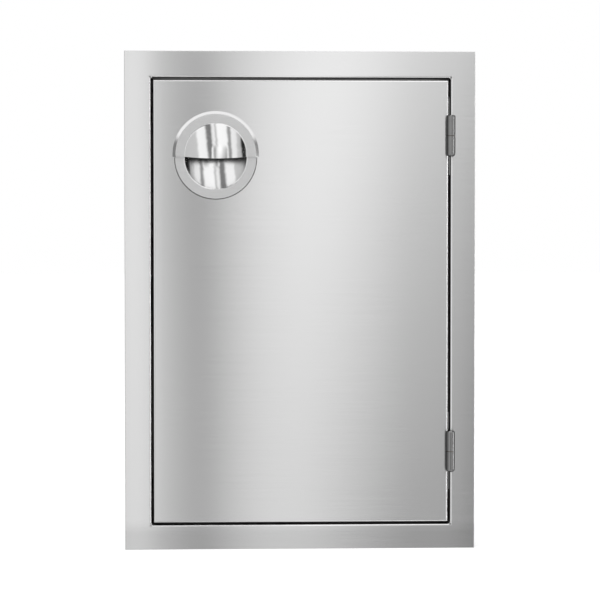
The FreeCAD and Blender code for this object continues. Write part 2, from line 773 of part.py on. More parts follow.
def pieces():
    """Every piece of the door and its frame, by name."""
    made = {"face_flange": face_flange()}
    made.update(jambs())
    for name, height in hinge_heights.items():
        made[name + "_hinge_frame_leaf"] = hinge_leaf(height, False)
        made[name + "_hinge_pin"] = hinge_pin(height)
        made[name + "_hinge_washer"] = hinge_washer(height)
        made[name + "_hinge_door_leaf"] = hinge_leaf(height, True)
        made[name + "_hinge_nut_plate"] = nut_plate(height)
    for name, height in zip(("upper", "lower"), stop_points()):
        made[name + "_stop_tab"] = stop_tab(height)
        made[name + "_stop_bumper"] = bumper(height)
    made["hinge_frame_screws"] = hinge_frame_screws()
    made["hinge_frame_nuts"] = hinge_frame_nuts()
    made["hinge_door_screws"] = hinge_door_screws()
    made["catch_housing"] = catch_housing()
    made["catch_magnet"] = catch_magnet()
    made["catch_pole_plates"] = catch_pole_plates()
    made["catch_screws"] = catch_screws()
    made["catch_nuts"] = catch_nuts()
    made["door_front_panel"] = door_front_panel()
    made["door_back_panel"] = door_back_panel()
    made["door_stiffener"] = door_stiffener()
    made["back_panel_screws"] = back_panel_screws()
    made["pull_cup"] = pull_cup()
    made["pull_hood"] = pull_hood()
    made["cup_studs"] = pull_studs(False)
    made["hood_studs"] = pull_studs(True)
    made["pull_washers"] = pull_washers()
    made["pull_nuts"] = pull_nuts()
    made["strike_plate"] = strike_plate()
    made["strike_screws"] = strike_screws()
    return made


os.makedirs("parts", exist_ok=True)
for name, shape in pieces().items():
    print(name, len(shape.Solids), "solids, valid", shape.isValid(), round(shape.Volume, 1))
    shape.exportStep("parts/" + name + ".step")
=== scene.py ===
import math

import bmesh
import bpy
import numpy as np
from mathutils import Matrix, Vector


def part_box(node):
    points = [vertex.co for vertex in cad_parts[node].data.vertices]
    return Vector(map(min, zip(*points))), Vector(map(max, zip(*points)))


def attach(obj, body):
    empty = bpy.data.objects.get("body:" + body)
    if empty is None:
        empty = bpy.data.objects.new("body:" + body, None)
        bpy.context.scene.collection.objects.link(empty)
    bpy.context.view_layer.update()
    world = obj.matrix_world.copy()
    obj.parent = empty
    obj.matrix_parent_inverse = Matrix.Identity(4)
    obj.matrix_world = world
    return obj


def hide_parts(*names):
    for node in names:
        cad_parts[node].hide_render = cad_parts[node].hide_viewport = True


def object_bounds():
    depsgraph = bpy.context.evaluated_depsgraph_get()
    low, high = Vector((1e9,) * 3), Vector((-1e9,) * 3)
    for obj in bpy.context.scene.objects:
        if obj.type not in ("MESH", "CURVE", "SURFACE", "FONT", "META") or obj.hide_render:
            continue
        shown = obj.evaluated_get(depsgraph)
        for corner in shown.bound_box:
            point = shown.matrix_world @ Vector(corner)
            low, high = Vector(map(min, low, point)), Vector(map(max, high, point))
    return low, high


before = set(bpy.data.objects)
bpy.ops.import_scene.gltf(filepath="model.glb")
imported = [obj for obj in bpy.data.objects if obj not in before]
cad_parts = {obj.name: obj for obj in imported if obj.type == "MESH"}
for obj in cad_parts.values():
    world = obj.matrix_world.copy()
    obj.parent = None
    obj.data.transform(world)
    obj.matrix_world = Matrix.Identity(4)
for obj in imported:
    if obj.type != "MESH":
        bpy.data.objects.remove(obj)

cad_box = [list(corner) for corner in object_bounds()]

# Face flange
# One ring of brushed stainless sheet that seats on the wall, wider at the latch side and the top.
# Its inner edge is bent back into the opening, its outer edge is a short lip that touches the wall,
# and a small round relief at each corner of the opening lets the bends end cleanly.
flange_low, flange_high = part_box("face_flange")
front = flange_low.y
sheet = 0.0012
bend_radius = 0.0020
edge_radius = 0.0016
flange_edge = 0.0005
latch_width, hinge_width = 0.0272, 0.0256
top_width, bottom_width = 0.0273, 0.0255
flange_width = (latch_width + hinge_width) / 2
lip_depth = 0.0050
leg_depth = 0.0060
relief_radius = 0.0015
relief_depth = 0.0019
opening_width = flange_high.x - flange_low.x - latch_width - hinge_width
opening_height = flange_high.z - flange_low.z - top_width - bottom_width


def rounded(corners, steps=8, beside=0.00008):
    """A line through (across, deep, radius) corners, each corner rounded by its radius.

    An arc starts its radius times the tangent of half the turn before the corner, and its points
    are that start turned about the arc's centre in equal angles. One more point lies on the run
    close to each end of the arc, so that the flat beside it shades flat.
    """
    spots = np.array([corner[:2] for corner in corners])
    line = [spots[:1]]
    for before, here, after, corner in zip(spots, spots[1:], spots[2:], corners[1:]):
        if corner[2] == 0:
            line.append(here[None])
            continue
        arrive = (here - before) / np.linalg.norm(here - before)
        leave = (after - here) / np.linalg.norm(after - here)
        turn = math.atan2(arrive[0] * leave[1] - arrive[1] * leave[0], arrive @ leave)
        start = here - arrive * corner[2] * math.tan(abs(turn) / 2)
        spoke = np.array([arrive[1], -arrive[0]]) * math.copysign(corner[2], turn)
        angle = np.linspace(0, turn, steps + 1)[:, None]
        across = np.array([-spoke[1], spoke[0]])
        arc = start - spoke + spoke * np.cos(angle) + across * np.sin(angle)
        line += [arc[:1] - arrive * beside, arc, arc[-1:] + leave * beside]
    return np.concatenate(line + [spots[-1:]])


def sheet_section(corners, thickness):
    """The closed outline of a bent sheet: a rounded line, then the same line set off to its left.

    Each point is set off along the mean of the two normals beside it, stretched so that both runs
    keep the sheet's thickness.
    """
    line = rounded(corners)
    runs = np.diff(line, axis=0)
    normals = np.stack((-runs[:, 1], runs[:, 0]), axis=1) / np.linalg.norm(runs, axis=1)[:, None]
    before = np.concatenate((normals[:1], normals))
    after = np.concatenate((normals, normals[-1:]))
    mean = before + after
    offset = mean * (thickness / (mean * after).sum(axis=1))[:, None]
    return np.concatenate((line, (line + offset)[::-1]))


def rectangle_ring(section, width, height):
    """A section carried round a rectangle in the wall's plane, its corners mitred.

    Each (outward, deep) point of the section goes round the rectangle that lies so far outside the
    given one. The columns start at a corner and run up one side after another, close together near
    the corners and evenly between them.
    """
    steps = 0.001 * np.array([0, 0.25, 0.5, 0.75, 1, 1.3, 1.6, 2, 2.6, 3.5, 5])
    shares = np.linspace(0.03, 0.97, 48)
    signs, moves = [], []
    corners = np.array([(1, -1), (1, 1), (-1, 1), (-1, -1)])
    for start, end in zip(corners, np.roll(corners, -1, axis=0)):
        way = (end - start) / 2
        signs += [start] * len(steps) + [start + 2 * way * share for share in shares]
        signs += [end] * (len(steps) - 1)
        moves += [way * step for step in steps] + [way * 0] * len(shares)
        moves += [-way * step for step in steps[:0:-1]]
    signs, moves = np.array(signs), np.array(moves)
    half = np.array([width, height]) / 2 + section[:, :1]
    flat = signs[None] * half[:, None] + moves[None]
    depth = np.broadcast_to(front + section[:, 1:], flat.shape[:2])
    return np.stack((flat[..., 0], depth, flat[..., 1]), axis=-1)


def surface(name, points, around=True, along=False, sharp=30):
    """A mesh object from a grid of points, with a face between each four neighbours.

    The columns close on themselves when around is true, and the rows when along is true. Doubles
    are merged, the faces turned outwards, and edges steeper than sharp degrees stay sharp.
    """
    rows, columns = points.shape[:2]
    row = np.arange(rows if along else rows - 1)[:, None]
    column = np.arange(columns if around else columns - 1)[None]
    below, right = (row + 1) % rows, (column + 1) % columns
    quads = np.stack((row * columns + column, row * columns + right,
                      below * columns + right, below * columns + column), axis=-1)
    return shell(name, points.reshape(-1, 3), quads.reshape(-1, 4), sharp)


def shell(name, points, faces, sharp=30):
    """A mesh object from points and faces, cleaned as the docstring of surface says."""
    mesh = bpy.data.meshes.new(name)
    mesh.from_pydata(points.tolist(), [], faces.tolist())
    clean = bmesh.new()
    clean.from_mesh(mesh)
    bmesh.ops.remove_doubles(clean, verts=clean.verts, dist=2e-6)
    bmesh.ops.dissolve_degenerate(clean, edges=clean.edges, dist=1e-7)
    bmesh.ops.recalc_face_normals(clean, faces=clean.faces)
    clean.to_mesh(mesh)
    clean.free()
    mesh.shade_smooth()
    mesh.set_sharp_from_angle(angle=math.radians(sharp))
    piece = bpy.data.objects.new(name, mesh)
    bpy.context.scene.collection.objects.link(piece)
    return piece


class Wire:
    """A socket in a shader's nodes. Sums, products and powers of it add their own Math nodes."""

    def __init__(self, tree, socket=None):
        self.tree = tree
        self.socket = socket

    def node(self, kind, settings=None, sockets=None, output=0):
        """Add a node of any kind: its settings first, then the values or wires of its sockets."""
        added = self.tree.nodes.new(kind)
        for name, value in (settings or {}).items():
            if name != "stops":
                setattr(added, name, value)
                continue
            stops = added.color_ramp.elements
            while len(stops) < len(value):
                stops.new(1)
            for stop, (position, tone) in zip(stops, value):
                stop.position = position
                stop.color = (tone, tone, tone, 1)
        for name, value in (sockets or {}).items():
            if isinstance(value, Wire):
                self.tree.links.new(value.socket, added.inputs[name])
            else:
                added.inputs[name].default_value = value
        return Wire(self.tree, added.outputs[output])

    def beside(self, output):
        """Another output of the node that this wire comes from."""
        return Wire(self.tree, self.socket.node.outputs[output])

    def math(self, operation, first, second=0.0):
        return self.node("ShaderNodeMath", {"operation": operation}, {0: first, 1: second})

    def __add__(self, other):
        return self.math("ADD", self, other)

    def __sub__(self, other):
        return self.math("SUBTRACT", self, other)

    def __rsub__(self, other):
        return self.math("SUBTRACT", other, self)

    def __mul__(self, other):
        return self.math("MULTIPLY", self, other)

    def __truediv__(self, other):
        return self.math("DIVIDE", self, other)

    def __pow__(self, other):
        return self.math("POWER", self, other)

    __radd__ = __add__
    __rmul__ = __mul__

    def rise(self, low, high):
        """A smooth step from 0 to 1 as this wire goes from low to high."""
        return self.node("ShaderNodeMapRange", {"interpolation_type": "SMOOTHSTEP"},
                         {"Value": self, "From Min": low, "From Max": high})

    def between(self, first, second):
        """The colour between two, as this wire goes from 0 to 1."""
        return self.node("ShaderNodeMix", {"data_type": "RGBA"},
                         {0: self, 6: (*first, 1), 7: (*second, 1)}, output=2)

    def noise(self, scale, detail=2.0):
        """Noise about a half, at a place stretched by a scale along each axis."""
        place = self.node("ShaderNodeVectorMath", {"operation": "MULTIPLY"}, {0: self, 1: scale})
        return self.node("ShaderNodeTexNoise", sockets={"Vector": place, "Scale": 1.0, "Detail": detail})

    def bump(self, strength, distance):
        """A normal that follows this wire as a height."""
        return self.node("ShaderNodeBump", sockets={"Strength": strength, "Distance": distance,
                                                    "Height": self})

    def feed(self, shader, socket):
        """Link this wire to a socket of the shader."""
        self.tree.links.new(self.socket, shader.inputs[socket])


def new_material(name, **fixed):
    """A material, its shader with the sockets that stay the same, and the place on the piece."""
    material = bpy.data.materials.new(name)
    material.use_nodes = True
    shader = material.node_tree.nodes["Principled BSDF"]
    for socket, value in fixed.items():
        shader.inputs[socket.replace("_", " ")].default_value = value
    return material, shader, Wire(material.node_tree).node("ShaderNodeTexCoord", output="Object")


def brushed_steel(name, tone, roughness, grain):
    """Sheet steel with fine scratches along X, which carry on round its bends.

    On a face that looks sideways the scratches run along Y, and on one that looks up or down they
    are stacked along Y. Long fine noise makes the scratches, shorter noise the coarser strokes
    among them, and wide soft noise the hand's uneven pressure. The bends are painted brighter, a
    painted highlight, and the lowest run of the flange is painted darker, a painted shade.
    """
    material, shader, place = new_material(name, Metallic=1.0, Anisotropic=1.0, Anisotropic_Rotation=0.25)
    x = place.node("ShaderNodeSeparateXYZ", sockets={0: place})
    looks = place.node("ShaderNodeSeparateXYZ", sockets={0: place.beside("Normal")})
    along = x + x.beside("Y") * looks ** 2
    across = x.beside("Z") + x.beside("Y") * looks.beside("Z") ** 2
    stroke = place.node("ShaderNodeCombineXYZ", sockets={"X": along, "Z": across})
    fine = stroke.noise((26, 1, 3400), 3)
    coarse = stroke.noise((8, 1, 900), 3)
    fleck = place.noise((420, 420, 1500), 3)
    cloud = place.noise((7, 7, 7), 2)
    scratches = fine + coarse
    turned_away = 1 - looks.beside("Y") ** 2
    # Painted highlight: the base colour is raised on the bends, where the sheet turns away from the front.
    painted_bend_highlight = turned_away.rise(0.02, 0.15) * (1 - turned_away.rise(0.85, 0.99))
    colour = tone + grain * (scratches - 1) + grain * 0.6 * (fleck - 0.5) + 0.012 * (cloud - 0.5)
    # Painted shade: the run of the flange below the door is painted darker.
    lowest = (x.beside("Z") * -1.0).rise(0.224, 0.242)
    (colour + 0.20 * painted_bend_highlight - 0.12 * lowest).feed(shader, "Base Color")
    gloss = roughness + 0.05 * (fine - 0.5) + 0.03 * (coarse - 0.5) + 0.02 * (cloud - 0.5)
    gloss.feed(shader, "Roughness")
    scratches.bump(0.12, 0.00002).feed(shader, "Normal")
    return material


def fit(piece, material, slot, body, *nodes):
    """Give a piece its material, and fix it to its body in place of CAD nodes. The slot is not used."""
    piece.data.materials.clear()
    piece.data.materials.append(material)
    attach(piece, body)
    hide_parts(*nodes)


section = sheet_section([(0, leg_depth, 0), (0, 0, bend_radius), (flange_width, 0, flange_edge),
                         (flange_width, lip_depth, 0)], sheet)
ring = rectangle_ring(section, opening_width, opening_height)
flat = ring[..., [0, 2]]
sign = np.sign(flat)
from_corner = flat - sign * (opening_width / 2, opening_height / 2) + sign * 1e-8
distance = np.linalg.norm(from_corner, axis=-1, keepdims=True)
pushed = flat + from_corner * (np.maximum(relief_radius / distance, 1) - 1)
uneven = np.array([hinge_width - latch_width, top_width - bottom_width]) / 2
flat = flat + uneven * (section[:, :1, None] > flange_width / 2)
inner = (section[:, 1:, None] < relief_depth) & (section[:, :1, None] < flange_width / 2)
ring[..., [0, 2]] = np.where(inner, pushed, flat)
brushed = brushed_steel("brushed_stainless", tone=0.80, roughness=0.20, grain=0.05)
fit(surface("flange_ring", ring, along=True), brushed, "brushed_stainless", "frame", "face_flange")


# Jambs
# Four strips of the same sheet behind the flange, mitred and welded at the corners, each with a
# return bent in at the rear. They were brushed along their length before bending.
def finished(node, bevel=0.00015):
    """A copy of a cut or machined node: doubles merged, flat faces made whole, edges broken."""
    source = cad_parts[node].data
    points = np.empty(len(source.vertices) * 3)
    source.vertices.foreach_get("co", points)
    corners = np.empty(len(source.loops), dtype=int)
    source.loops.foreach_get("vertex_index", corners)
    piece = shell("finished_" + node, points.reshape(-1, 3), corners.reshape(-1, 3))
    whole = bmesh.new()
    whole.from_mesh(piece.data)
    bmesh.ops.dissolve_limit(whole, angle_limit=math.radians(0.5), verts=whole.verts, edges=whole.edges)
    whole.to_mesh(piece.data)
    whole.free()
    broken = piece.modifiers.new("broken edges", "BEVEL")
    broken.width = bevel
    broken.segments = 2
    broken.limit_method = "ANGLE"
    broken.angle_limit = math.radians(35)
    broken.harden_normals = True
    applied = bpy.data.meshes.new_from_object(piece.evaluated_get(bpy.context.evaluated_depsgraph_get()))
    piece.modifiers.clear()
    piece.data = applied
    return piece


def mill_steel(name, tone, roughness, way, glance=1.0):
    """Sheet as it came from the mill: faint rolling lines along one axis, and a soft cloudiness.

    Glance is how much of its shine is left at a glancing angle; a low glance darkens the glancing
    reflection, a painted shade.
    """
    material, shader, place = new_material(name, Metallic=1.0, Anisotropic=0.3,
                                           Specular_Tint=(glance, glance, glance, 1))
    stretch = [900.0, 900.0, 900.0]
    stretch["XYZ".index(way)] = 6.0
    line = place.noise(stretch, 3)
    cloud = place.noise((16, 16, 16), 4)
    (tone + 0.08 * (line - 0.5) + 0.07 * (cloud - 0.5)).feed(shader, "Base Color")
    (roughness + 0.12 * (line - 0.5) + 0.14 * (cloud - 0.5)).feed(shader, "Roughness")
    (line + cloud).bump(0.3, 0.00003).feed(shader, "Normal")
    return material


# Painted shade: the jambs' dark tone and low glance stand for the shade in the gaps round the door; bare
# mill sheet is paler.
shaded_jamb_look = {"tone": 0.38, "roughness": 0.52, "glance": 0.1}
upright = mill_steel("jamb_upright_stainless", way="Z", **shaded_jamb_look)
level = mill_steel("jamb_level_stainless", way="X", **shaded_jamb_look)
for node in ("jamb_hinge_side", "jamb_latch_side"):
    fit(finished(node), upright, "brushed_stainless", "frame", node)
for node in ("jamb_top", "jamb_bottom"):
    fit(finished(node), level, "brushed_stainless", "frame", node)

# Door stops
# A bent tab of mill sheet is welded to the latch jamb near each end, and a rubber bumper with a
# domed head and a stem is pushed into its hole.
bumper_edge = 0.0012
bumper_foot = 0.0003
bumper_stem = 0.0016
stem_root = 0.0002
stem_tip = 0.0006
forward = (0, -1, 0)


def rubber(name):
    """Black rubber: a fine moulded grain, dull, with paler dust in soft patches."""
    material, shader, place = new_material(name, Specular_IOR_Level=0.3)
    grain = place.noise((1500, 1500, 1500), 4)
    dust = place.noise((240, 240, 240), 4)
    dust.rise(0.35, 0.8).between((0.018, 0.018, 0.019), (0.045, 0.044, 0.042)).feed(shader, "Base Color")
    (0.62 + 0.3 * (grain - 0.5)).feed(shader, "Roughness")
    grain.bump(0.5, 0.0001).feed(shader, "Normal")
    return material


def turned(profile, origin, axis, columns=96):
    """A profile turned about an axis: each (radius, height) goes round the axis at that height.

    A point is the origin plus height times the axis, plus radius times the cosine of its angle
    along X and the sine of it along the direction square to both.
    """
    axis = np.array(axis, float)
    angle = np.linspace(0, 2 * math.pi, columns, endpoint=False)
    across = np.cross(axis, (1.0, 0.0, 0.0))
    spokes = np.cos(angle)[:, None] * (1.0, 0.0, 0.0) + np.sin(angle)[:, None] * across
    return np.array(origin) + profile[:, :1, None] * spokes + profile[:, 1:, None] * axis


# The stop tabs take the jambs' darkened sheet, with its painted shade.
for end in ("upper", "lower"):
    node = end + "_stop_tab"
    fit(finished(node), upright, "mill_stainless", "frame", node)
black_rubber = rubber("bumper_rubber")
for end in ("upper", "lower"):
    node = end + "_stop_bumper"
    low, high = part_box(node)
    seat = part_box(end + "_stop_tab")[0].y
    radius = (high.x - low.x) / 2
    middle = ((low.x + high.x) / 2, seat, (low.z + high.z) / 2)
    profile = rounded([(0, seat - low.y, 0), (radius, seat - low.y, bumper_edge),
                       (radius, 0, bumper_foot), (bumper_stem, 0, stem_root),
                       (bumper_stem, seat - high.y, stem_tip), (0, seat - high.y, 0)])
    fit(surface("rubber_" + node, turned(profile, middle, forward, columns=64)), black_rubber,
        "bumper_rubber", "frame", node)


# Magnetic catch
# A black moulded housing with an ear at each end, screwed through the latch jamb. In it a ferrite
# magnet lies between two zinc plated steel poles, which stand a little proud to meet the strike.
def moulded_plastic(name):
    """Black moulded plastic: a fine spark-eroded texture, with a slight shine."""
    material, shader, place = new_material(name, IOR=1.5)
    spark = place.noise((2200, 2200, 2200), 3)
    flow = place.noise((60, 60, 60), 3)
    flow.between((0.030, 0.030, 0.031), (0.042, 0.042, 0.043)).feed(shader, "Base Color")
    (0.46 + 0.2 * (spark - 0.5) + 0.1 * (flow - 0.5)).feed(shader, "Roughness")
    spark.bump(0.4, 0.00008).feed(shader, "Normal")
    return material


def ferrite(name):
    """Ground ferrite: dark grey, with grinding lines along Z and small pits."""
    material, shader, place = new_material(name, Metallic=0.3)
    line = place.noise((2400, 200, 30), 3)
    pit = place.noise((900, 900, 900), 2).rise(0.62, 0.72)
    (0.12 + 0.05 * (line - 0.5) - 0.06 * pit).feed(shader, "Base Color")
    (0.55 + 0.2 * (line - 0.5) + 0.2 * pit).feed(shader, "Roughness")
    (line - pit).bump(0.4, 0.00005).feed(shader, "Normal")
    return material


def zinc_plate(name):
    """Bright zinc plating: fine bluish grey, mottled, with a few dull patches."""
    material, shader, place = new_material(name, Metallic=1.0)
    mottle = place.noise((500, 500, 500), 4)
    patch = place.noise((90, 90, 90), 3)
    mottle.between((0.54, 0.55, 0.58), (0.68, 0.69, 0.70)).feed(shader, "Base Color")
    (0.30 + 0.16 * (mottle - 0.5) + 0.2 * (patch - 0.5)).feed(shader, "Roughness")
    mottle.bump(0.2, 0.00004).feed(shader, "Normal")
    return material


def fastener_steel(name):
    """Cold-headed stainless: bright and slightly drawn, with the marks of the die."""
    material, shader, place = new_material(name, Metallic=1.0)
    drawn = place.noise((1100, 1100, 1100), 3)
    mark = place.noise((260, 260, 260), 3)
    (0.64 + 0.10 * (drawn - 0.5) + 0.08 * (mark - 0.5)).feed(shader, "Base Color")
    (0.27 + 0.18 * (drawn - 0.5) + 0.12 * (mark - 0.5)).feed(shader, "Roughness")
    drawn.bump(0.3, 0.00003).feed(shader, "Normal")
    return material


fine_edge = 0.0001
plate_edge = 0.0002
moulded_edge = 0.0004
fasteners = fastener_steel("fastener_steel")
plastic = moulded_plastic("catch_plastic")
fit(finished("catch_housing", moulded_edge), plastic, "catch_plastic", "frame", "catch_housing")
fit(finished("catch_magnet"), ferrite("magnet_ferrite"), "magnet_ferrite", "frame", "catch_magnet")
zinc = zinc_plate("zinc_steel")
fit(finished("catch_pole_plates", plate_edge), zinc, "zinc_steel", "frame", "catch_pole_plates")
for node in ("catch_screws", "catch_nuts"):
    fit(finished(node, fine_edge), fasteners, "fastener_steel", "frame", node)

# Door pan
# The door's front: one sheet folded back on all four sides and in again at the rear, its corners
# welded and ground. A round hole takes the bowl of the pull.
pan_low, pan_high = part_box("door_front_panel")
door_width = pan_high.x - pan_low.x
door_height = pan_high.z - pan_low.z
pan_depth = pan_high.y - pan_low.y
pan_return = 0.0140
face_margin = 0.0100
ground_corner = 0.0008
cup_low, cup_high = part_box("pull_cup")
cup_x = (cup_low.x + cup_high.x) / 2
rim_radius = (cup_high.x - cup_low.x) / 2
cup_z = cup_low.z + rim_radius
bowl_hole = 0.0332

section = sheet_section([(-face_margin, 0, 0), (0, 0, bend_radius), (0, pan_depth, edge_radius),
                         (-pan_return, pan_depth, 0)], sheet)
pan = rectangle_ring(section, door_width, door_height)
half = np.array([door_width, door_height]) / 2 + section[:, :1]
radius = np.maximum(ground_corner + section[:, :1], 0)[:, None]
flat = pan[..., [0, 2]]
spoke = radius - np.minimum(half[:, None] - np.abs(flat), radius)
reach = np.linalg.norm(spoke, axis=-1, keepdims=True)
drawn = np.where(reach > radius, spoke * radius / np.maximum(reach, 1e-9), spoke)
pan[..., [0, 2]] = flat + np.sign(flat) * (drawn - spoke)
way = flat[0] - (cup_x, cup_z)
circle = (cup_x, cup_z) + way * bowl_hole / np.linalg.norm(way, axis=1)[:, None]
rim_front = np.stack((circle[:, 0], np.full(len(circle), front), circle[:, 1]), axis=1)
rim_back = rim_front + (0, sheet, 0)
pan = np.concatenate((rim_front[None], pan, rim_back[None]))
fit(surface("door_pan", pan, along=True), brushed, "brushed_stainless", "door", "door_front_panel")

# Inside the door
# A channel of mill sheet keeps the two skins apart, and four nuts on washers hold the studs of
# the pull. Tapped plates behind the hinge side take the screws of the hinges.
upright_mill = mill_steel("mill_stainless", tone=0.68, roughness=0.38, way="Z")
for node in ("door_stiffener", "upper_hinge_nut_plate", "lower_hinge_nut_plate"):
    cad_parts[node].material_slots[0].material = upright_mill
for node in ("cup_studs", "hood_studs", "pull_washers", "pull_nuts"):
    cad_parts[node].material_slots[0].material = fasteners

# Back panel
# A flat plate of mill sheet closes the door, held to the returns of the pan by eight pan head
# screws. The strike, a small zinc plated plate, is screwed to it where it meets the catch.
fit(finished("door_back_panel"), upright_mill, "mill_stainless", "door", "door_back_panel")
fit(finished("back_panel_screws", fine_edge), fasteners, "fastener_steel", "door", "back_panel_screws")
fit(finished("strike_plate", plate_edge), zinc, "zinc_steel", "door", "strike_plate")
fit(finished("strike_screws", fine_edge), fasteners, "fastener_steel", "door", "strike_screws")

# Cup of the pull
# A stainless pressing: a mirror-polished bowl that goes through the door's face, and a flat satin
# rim that lies on it. The rim is narrower under the hood.
rim_thickness = 0.0012
bowl_radius = 0.0322
bowl_depth = 0.0102
bowl_lip = 0.0018
rim_edge = 0.0008
rim_under_hood = 0.0406
split_above_cup = 0.0012
fillet_room = 0.0008
satin_border = 0.0006
bowl_sphere = (bowl_radius ** 2 + bowl_depth ** 2) / (2 * bowl_depth)
bowl_centre = rim_thickness - bowl_depth + bowl_sphere


def sphere_line(radius, centre, start, end, count=24):
    """Points along a sphere's section between two radii from its axis, (radius, height) each.

    The height is the centre's plus the root of the sphere's radius squared less the point's; a
    negative sphere radius takes the side that faces back.
    """
    outward = np.linspace(start, end, count)
    return [(r, centre + math.copysign(math.sqrt(radius ** 2 - r ** 2), radius), 0) for r in outward]


def satin_and_mirror(name, centre, inner, outer, dull):
    """Mirror polish, but satin between two radii from the pull's axis, and painted darker outside.

    The mirror has the faint circular wipe marks of a buffing wheel, and the satin fine strokes
    along X. Dull is how much darker the steel is painted outside the outer radius, a painted shade.
    """
    border = 0.0001
    material, shader, place = new_material(name, Metallic=1.0)
    x = place.node("ShaderNodeSeparateXYZ", sockets={0: place})
    radius = ((x - centre[0]) ** 2 + (x.beside("Z") - centre[1]) ** 2) ** 0.5
    edge = radius.rise(outer - border, outer + border)
    satin = radius.rise(inner - border, inner + border) * (1 - edge)
    turn = place.node("ShaderNodeCombineXYZ", sockets={"X": radius, "Y": x.beside("Y")})
    wheel = turn.noise((2600, 500, 1), 2)
    haze = place.noise((55, 55, 55), 3)
    stroke = place.noise((60, 60, 2600), 3)
    # Painted shade: the steel outside the outer radius is darkened by dull.
    tone = 0.88 - 0.12 * satin - dull * edge + 0.12 * satin * (stroke - 0.5) + 0.03 * (haze - 0.5)
    tone.feed(shader, "Base Color")
    polish = 0.09 + 0.05 * (haze - 0.35) + 0.02 * (wheel - 0.5)
    (polish + satin * (0.50 + 0.10 * (stroke - 0.5))).feed(shader, "Roughness")
    (satin * stroke + 0.1 * wheel).bump(0.15, 0.00002).feed(shader, "Normal")
    return material


back_sphere = bowl_sphere + rim_thickness
back_reach = math.sqrt(back_sphere ** 2 - bowl_centre ** 2)
corners = sphere_line(-bowl_sphere, bowl_centre, 0, bowl_radius - fillet_room)
corners += [(bowl_radius, rim_thickness, bowl_lip), (rim_radius, rim_thickness, rim_edge),
            (rim_radius, 0, 0)]
corners += sphere_line(-back_sphere, bowl_centre, back_reach, 0)
cup = turned(rounded(corners), (cup_x, front, cup_z), forward, columns=192)
from_axis = cup[..., [0, 2]] - (cup_x, cup_z)
reach = np.linalg.norm(from_axis, axis=-1, keepdims=True)
outside = np.maximum(reach - bowl_radius, 0)
narrowing = (rim_radius - rim_under_hood) / (rim_radius - bowl_radius)
shrink = 1 - outside / np.maximum(reach, 1e-9) * narrowing
upper = from_axis[..., 1:] > split_above_cup
cup[..., [0, 2]] = (cup_x, cup_z) + from_axis * np.where(upper, shrink, 1)
# On the cup the darkened edge is a dark joint where the rim lies on the door, and partly a painted contact
# shadow.
bowl_finish = satin_and_mirror("satin_cup_mirror_bowl", (cup_x, cup_z), bowl_radius + satin_border,
                               rim_radius - rim_edge, dull=0.78)
fit(surface("cup_and_bowl", cup), bowl_finish, "satin_and_mirror_stainless", "door", "pull_cup")

# Hood of the pull
# A second pressing stands over the upper part of the cup: a bevelled skirt on the door's face, a
# flat satin face, and a mirror-polished dome whose lip leaves the finger room.
hood_low, hood_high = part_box("pull_hood")
hood_base = (hood_high.x - hood_low.x) / 2
hood_z = hood_high.z - hood_base
split_z = cup_z + split_above_cup
hood_bevel = 0.0031
hood_face = hood_base - hood_bevel
hood_height = 0.0027
hood_sheet = 0.0010
hood_edge = 0.0003
dome_radius = 0.0316
dome_rise = 0.0098
dome_fillet = 0.0018
inner_fillet_room = 0.0011
lip_slope = math.tan(math.radians(11))
dome_sphere = (dome_radius ** 2 + dome_rise ** 2) / (2 * dome_rise)
dome_centre = hood_height + dome_rise - dome_sphere


def cut_hood(profile, columns=192):
    """The part of a turned surface above the hood's split, which slopes down over the dome.

    A (radius, height) ring is cut where its points fall below the split, at the angle whose sine
    is the cut's height over the radius. Its points share out the angle that is left, so inside
    the smallest ring that reaches the cut they go all the way round.
    """
    radius, height = profile[:, :1], profile[:, 1:]
    cut = split_z - hood_z - np.maximum(height - hood_height, 0) * lip_slope
    start = np.arcsin(np.clip(cut / np.maximum(radius, 1e-9), -1, 1))
    share = np.linspace(0, 1, columns)[None]
    angle = start + (math.pi - 2 * start) * share
    x, z = cup_x + radius * np.cos(angle), hood_z + radius * np.sin(angle)
    return np.stack((x, np.broadcast_to(front - height, x.shape), z), axis=-1)


def near_cut(line, count=14):
    """A line with more points near the ring that first meets the cut, the closer the denser."""
    r = line[:, 0]
    cut = hood_z - split_z + np.maximum(line[:, 1] - hood_height, 0) * lip_slope
    k = int(np.argmax(r > cut))
    meet = np.interp(0, r[:k + 1] - cut[:k + 1], r[:k + 1]) if k else r[0]
    extra = meet + (line[k + 2, 0] - meet) * np.linspace(0, 1, count, endpoint=False) ** 2
    spread = np.stack((extra, np.interp(extra, r, line[:, 1])), axis=1)
    return np.concatenate((line[:k], spread, line[k + 2:])), k


slope = math.atan2(hood_height, hood_base - hood_face)
inner_sphere = dome_sphere - hood_sheet
under = hood_height - hood_sheet
inner_reach = math.sqrt(inner_sphere ** 2 - (under - dome_centre) ** 2)
outer_corners = sphere_line(dome_sphere, dome_centre, 0, dome_radius - fillet_room)
outer_corners += [(dome_radius, hood_height, dome_fillet), (hood_face, hood_height, hood_edge),
                  (hood_base, 0, 0)]
inner_corners = sphere_line(inner_sphere, dome_centre, 0, inner_reach - inner_fillet_room)
inner_corners += [(inner_reach, under, dome_fillet + hood_sheet),
                  (hood_face - hood_sheet * math.tan(slope / 2), under, hood_edge),
                  (hood_base - hood_sheet / math.sin(slope), 0, 0)]
outer_line, first = near_cut(rounded(outer_corners))
inner_line = near_cut(rounded(inner_corners))[0]
outer, inner = cut_hood(outer_line), cut_hood(inner_line)
rows, columns = outer.shape[:2]
row = np.arange(rows - 1)[:, None]
column = np.arange(columns - 1)[None]
corner = row * columns + column
skin = np.stack((corner, corner + 1, corner + columns + 1, corner + columns), axis=-1).reshape(-1, 4)
total = rows * columns
